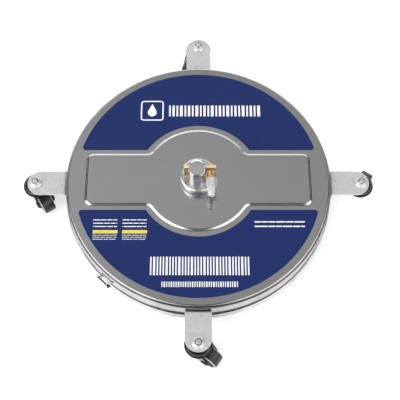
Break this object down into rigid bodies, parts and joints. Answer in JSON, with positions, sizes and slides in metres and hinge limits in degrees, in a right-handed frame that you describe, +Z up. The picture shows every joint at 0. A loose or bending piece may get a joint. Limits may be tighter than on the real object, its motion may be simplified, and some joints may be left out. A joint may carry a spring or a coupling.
{
  "type": "pressure washer surface cleaner",
  "caption": "Round stainless steel surface cleaner on swivel casters, with a spinning spray bar below and a tilting quick-connect inlet on top.",
  "frame": {"origin": "on the floor under the centre of the deck, level with the bottom of the wheels", "axes": "+Z up along the spray bar's spin axis; +X along the swivel's cross barrel towards its outlet elbow; -Y is the side that the inlet plug points to at rest"},
  "size_m": [0.5776, 0.578, 0.115],
  "materials": {
    "deck_stainless": "polished stainless sheet",
    "label_film": "printed dark blue film, satin",
    "zinc_plate": "zinc plated, satin",
    "steel": "plain bright steel",
    "chrome": "mirror",
    "brass": "machined",
    "black_nylon": "moulded black, semi-gloss",
    "tread": "hard black wheel, semi-gloss",
    "bristle": "black nylon bristles",
    "rubber_seal": "matt"
  },
  "bodies": {
    "housing": {"deck_pan": "deck_stainless", "rim_band": "deck_stainless", "band_screw": "steel", "band_nut": "steel", "brush_holder": "black_nylon", "brush_skirt": "bristle", "label_upper": "label_film", "label_lower": "label_film", "swivel_base": "chrome", "inlet_block": "chrome", "deck_gasket": "rubber_seal", "lock_nut": "brass", "lower_bearing": "steel", "upper_bearing": "steel", "shaft_seal": "rubber_seal", "bracket_front": "zinc_plate", "rivet_front_a": "steel", "rivet_front_b": "steel", "caster_stem_front": "steel", "caster_nut_front": "steel", "bracket_back": "zinc_plate", "rivet_back_a": "steel", "rivet_back_b": "steel", "caster_stem_back": "steel", "caster_nut_back": "steel", "bracket_left": "zinc_plate", "rivet_left_a": "steel", "rivet_left_b": "steel", "caster_stem_left": "steel", "caster_nut_left": "steel", "bracket_right": "zinc_plate", "rivet_right_a": "steel", "rivet_right_b": "steel", "caster_stem_right": "steel", "caster_nut_right": "steel"},
    "spray_bar": {"swivel_shaft": "steel", "bar_hub": "brass", "spray_tube_left": "steel", "spray_tube_right": "steel", "nozzle_holder_left": "brass", "nozzle_holder_right": "brass", "nozzle_left": "steel", "nozzle_right": "steel"},
    "coupler": {"pivot_barrel": "brass", "outlet_elbow": "brass", "union_nut": "chrome", "quick_plug": "chrome"},
    "caster_front": {"caster_fork_front": "black_nylon", "caster_axle_front": "steel"},
    "wheel_front": {"caster_wheel_front": "tread"},
    "caster_back": {"caster_fork_back": "black_nylon", "caster_axle_back": "steel"},
    "wheel_back": {"caster_wheel_back": "tread"},
    "caster_left": {"caster_fork_left": "black_nylon", "caster_axle_left": "steel"},
    "wheel_left": {"caster_wheel_left": "tread"},
    "caster_right": {"caster_fork_right": "black_nylon", "caster_axle_right": "steel"},
    "wheel_right": {"caster_wheel_right": "tread"}
  },
  "joints": [
    {"name": "spray_bar_spin", "type": "hinge", "parent": "housing", "child": "spray_bar", "pos_m": [0, 0, 0.034], "axis": [0, 0, 1], "continuous": true},
    {"name": "coupler_tilt", "type": "hinge", "parent": "housing", "child": "coupler", "pos_m": [0, 0, 0.102], "axis": [-1, 0, 0], "range_deg": [0, 196]},
    {"name": "caster_swivel_front", "type": "hinge", "parent": "housing", "child": "caster_front", "pos_m": [0, -0.2635, 0.045], "axis": [0, 0, 1], "continuous": true},
    {"name": "wheel_roll_front", "type": "hinge", "parent": "caster_front", "child": "wheel_front", "pos_m": [0.01575, -0.27413, 0.02], "axis": [0.5592, 0.829, 0], "continuous": true},
    {"name": "caster_swivel_back", "type": "hinge", "parent": "housing", "child": "caster_back", "pos_m": [0, 0.2635, 0.045], "axis": [0, 0, 1], "continuous": true},
    {"name": "wheel_roll_back", "type": "hinge", "parent": "caster_back", "child": "wheel_back", "pos_m": [-0.0109, 0.24794, 0.02], "axis": [0.8192, -0.5736, 0], "continuous": true},
    {"name": "caster_swivel_left", "type": "hinge", "parent": "housing", "child": "caster_left", "pos_m": [-0.2635, 0, 0.045], "axis": [0, 0, 1], "continuous": true},
    {"name": "wheel_roll_left", "type": "hinge", "parent": "caster_left", "child": "wheel_left", "pos_m": [-0.25315, -0.01594, 0.02], "axis": [0.8387, 0.5446, 0], "continuous": true},
    {"name": "caster_swivel_right", "type": "hinge", "parent": "housing", "child": "caster_right", "pos_m": [0.2635, 0, 0.045], "axis": [0, 0, 1], "continuous": true},
    {"name": "wheel_roll_right", "type": "hinge", "parent": "caster_right", "child": "wheel_right", "pos_m": [0.27385, 0.01594, 0.02], "axis": [-0.8387, 0.5446, 0], "continuous": true}
  ]
}
